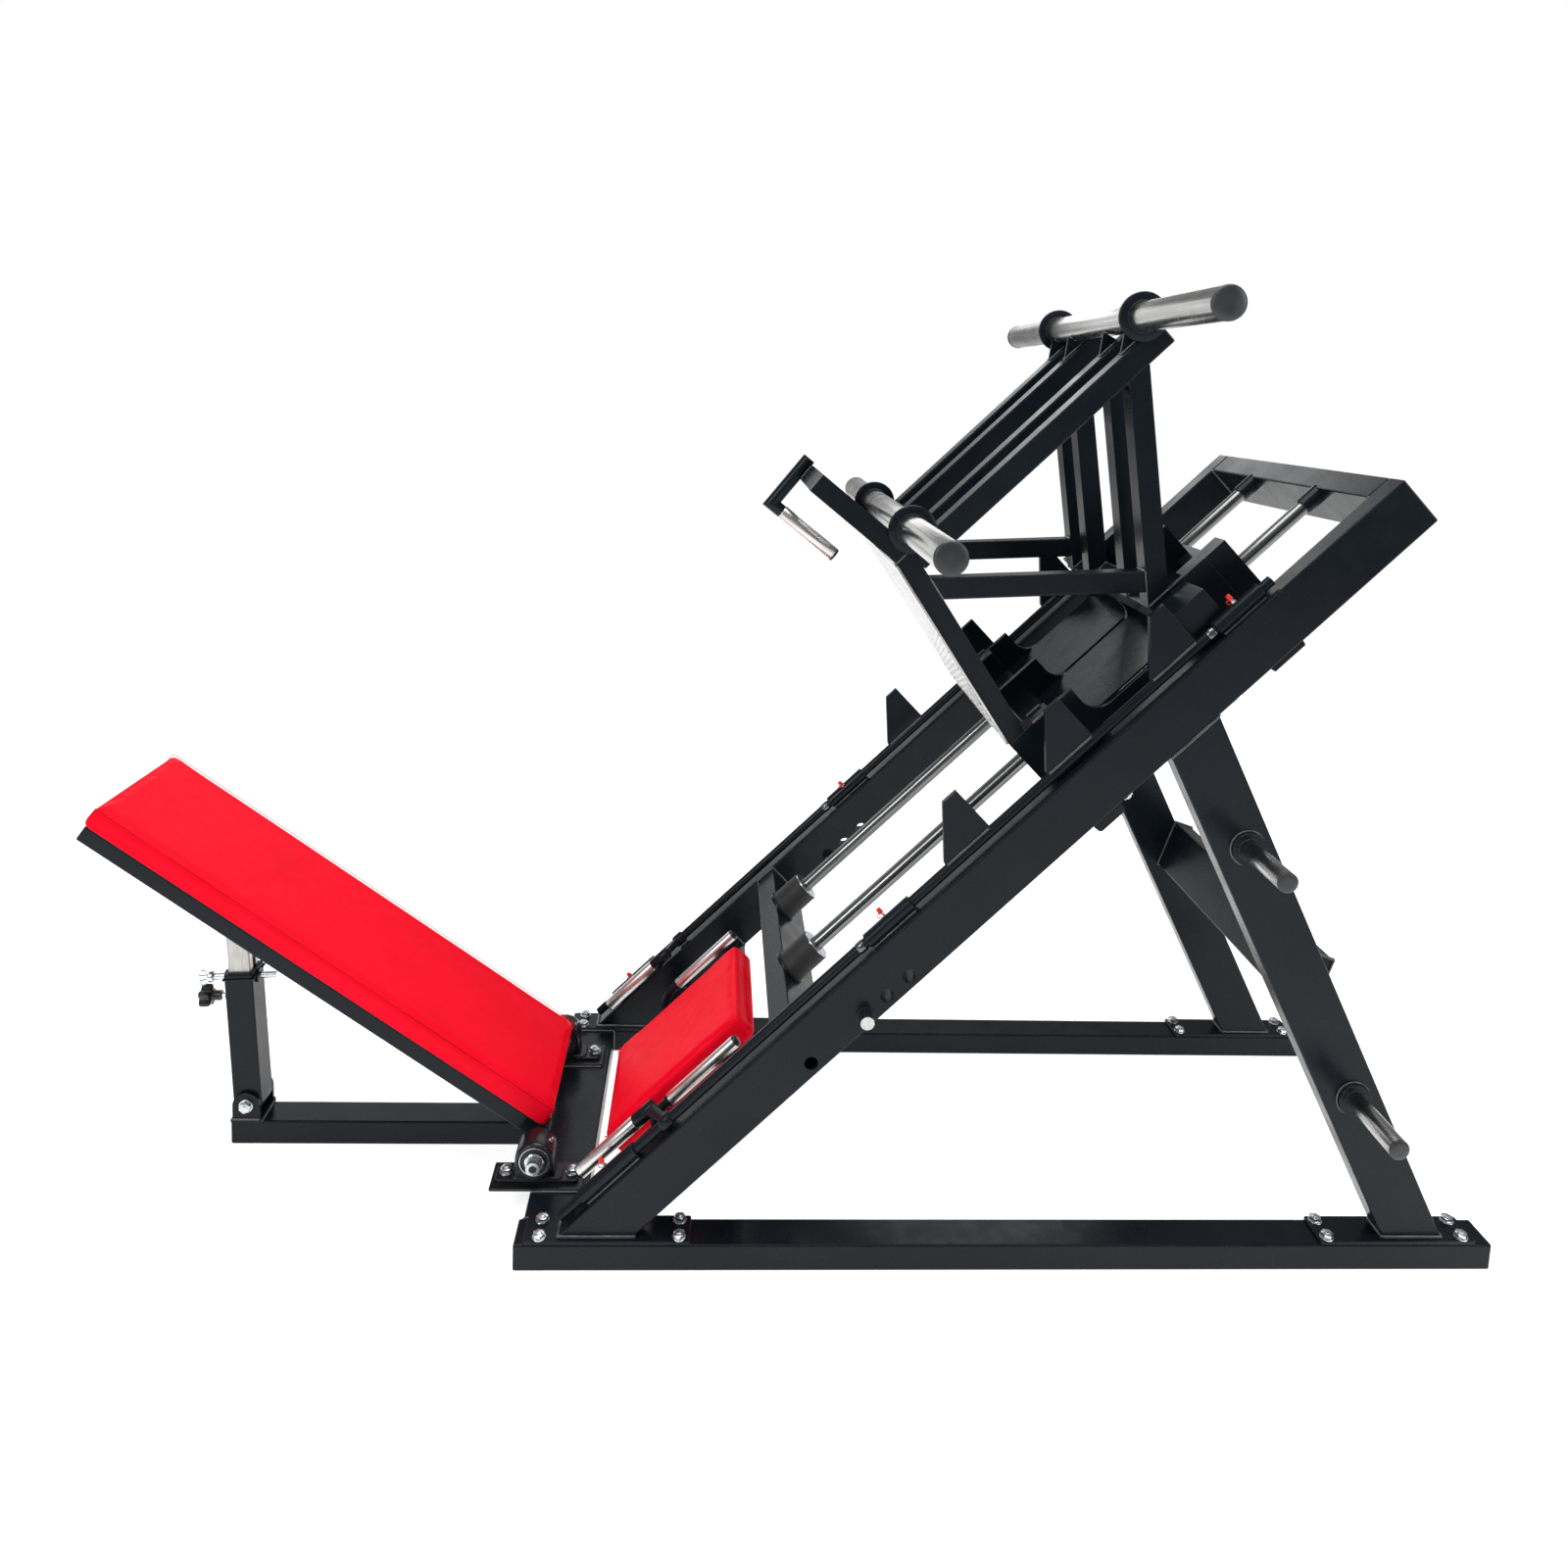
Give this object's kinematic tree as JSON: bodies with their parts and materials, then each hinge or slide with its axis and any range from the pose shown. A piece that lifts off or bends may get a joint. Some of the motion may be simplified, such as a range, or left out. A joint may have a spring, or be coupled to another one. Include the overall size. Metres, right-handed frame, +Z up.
{
  "type": "leg press machine",
  "caption": "45 degree leg press: weighted carriage on two guide rods, footplate, seat, adjustable backrest, swing-out safety locks and plate storage.",
  "frame": {"origin": "centre of the footprint on the floor", "axes": "+X from the backrest towards the raised end of the slope, +Y across the machine, +Z up"},
  "size_m": [2.4226, 1.1, 1.6154],
  "materials": {
    "black_steel": "gloss black powder coat",
    "bare_steel": "brushed or zinc plated",
    "vinyl": "red upholstery vinyl over foam",
    "rubber": "matte",
    "knob_plastic": "moulded"
  },
  "bodies": {
    "frame": {"base_rail_near": "black_steel", "base_rail_far": "black_steel", "front_cross_beam": "black_steel", "centre_base_tube": "black_steel", "incline_beam_near": "black_steel", "incline_beam_far": "black_steel", "lower_cross_beam": "black_steel", "top_cross_beam": "black_steel", "rear_leg_near": "black_steel", "rear_leg_far": "black_steel", "rear_cross_brace": "black_steel", "foot_plate_front_near": "black_steel", "foot_plate_front_far": "black_steel", "foot_plate_rear_near": "black_steel", "foot_plate_rear_far": "black_steel", "storage_peg_upper_near": "bare_steel", "storage_peg_upper_far": "bare_steel", "storage_peg_lower_near": "bare_steel", "storage_peg_lower_far": "bare_steel", "guide_rod_near": "bare_steel", "guide_rod_far": "bare_steel", "lower_bumper_near": "rubber", "lower_bumper_far": "rubber", "seat_frame": "black_steel", "seat_pad": "vinyl", "seat_grip_near": "bare_steel", "seat_grip_far": "bare_steel", "pillow_block_near": "black_steel", "pillow_block_far": "black_steel", "prop_clevis": "black_steel"},
    "carriage": {"carriage_side_near": "black_steel", "carriage_side_far": "black_steel", "carriage_mid_plate": "black_steel", "lower_bearing_beam": "black_steel", "upper_bearing_beam": "black_steel", "post_frame": "black_steel", "inclined_bar_outer_near": "black_steel", "inclined_bar_outer_far": "black_steel", "inclined_bar_inner_near": "black_steel", "inclined_bar_inner_far": "black_steel", "horizontal_bar_near": "black_steel", "horizontal_bar_far": "black_steel", "footplate_frame": "black_steel", "footplate": "bare_steel", "upper_horn": "bare_steel", "lower_horn": "bare_steel", "carriage_handle": "black_steel"},
    "backrest": {"backrest_frame": "black_steel", "backrest_pad": "vinyl", "backrest_axle": "bare_steel"},
    "prop_outer": {"prop_sleeve": "black_steel"},
    "prop_inner": {"prop_inner_tube": "bare_steel"},
    "hitch": {"hitch_pin": "bare_steel"},
    "knob": {"star_knob": "knob_plastic"},
    "lock_near": {"lock_shaft_near": "black_steel", "lock_handle_near": "bare_steel"},
    "lock_far": {"lock_shaft_far": "black_steel", "lock_handle_far": "bare_steel"},
    "pin_near": {"stop_pin_near": "bare_steel"},
    "pin_far": {"stop_pin_far": "bare_steel"}
  },
  "joints": [
    {"name": "carriage_slide", "type": "slide", "parent": "frame", "child": "carriage", "axis": [0.7071, 0, 0.7071], "range_m": [-0.495, 0.155]},
    {"name": "backrest_tilt", "type": "hinge", "parent": "frame", "child": "backrest", "pos_m": [-0.421, 0, 0.0934], "axis": [0, 1, 0], "range_deg": [-5, 6]},
    {"name": "prop_swing", "type": "hinge", "parent": "frame", "child": "prop_outer", "pos_m": [-0.978, 0, 0.0787], "axis": [0, 1, 0], "range_deg": [-6, 7]},
    {"name": "prop_extend", "type": "slide", "parent": "prop_outer", "child": "prop_inner", "axis": [-0.0535, 0, 0.9986], "range_m": [-0.05, 0.06]},
    {"name": "hitch_pin_pull", "type": "slide", "parent": "prop_outer", "child": "hitch", "axis": [-0.9986, 0, -0.0535], "range_m": [0, 0.09]},
    {"name": "star_knob_turn", "type": "hinge", "parent": "prop_outer", "child": "knob", "pos_m": [-1.01455, 0, 0.27863], "axis": [-0.9986, 0, -0.0535], "continuous": true},
    {"name": "lock_turn_near", "type": "hinge", "parent": "frame", "child": "lock_near", "pos_m": [-0.36161, -0.313, 0.07319], "axis": [0.7071, 0, 0.7071], "range_deg": [0, 60]},
    {"name": "lock_turn_far", "type": "hinge", "parent": "frame", "child": "lock_far", "pos_m": [-0.36161, 0.313, 0.07319], "axis": [-0.7071, 0, -0.7071], "range_deg": [0, 60]},
    {"name": "stop_pin_pull_near", "type": "slide", "parent": "frame", "child": "pin_near", "axis": [0, -1, 0], "range_m": [0, 0.05]},
    {"name": "stop_pin_pull_far", "type": "slide", "parent": "frame", "child": "pin_far", "axis": [0, 1, 0], "range_m": [0, 0.05]}
  ],
  "couplings": [
    {"joint": "prop_swing", "follows": "backrest_tilt", "ratio": 1.0275},
    {"joint": "prop_extend", "follows": "backrest_tilt", "m_per_rad": 0.5565}
  ]
}
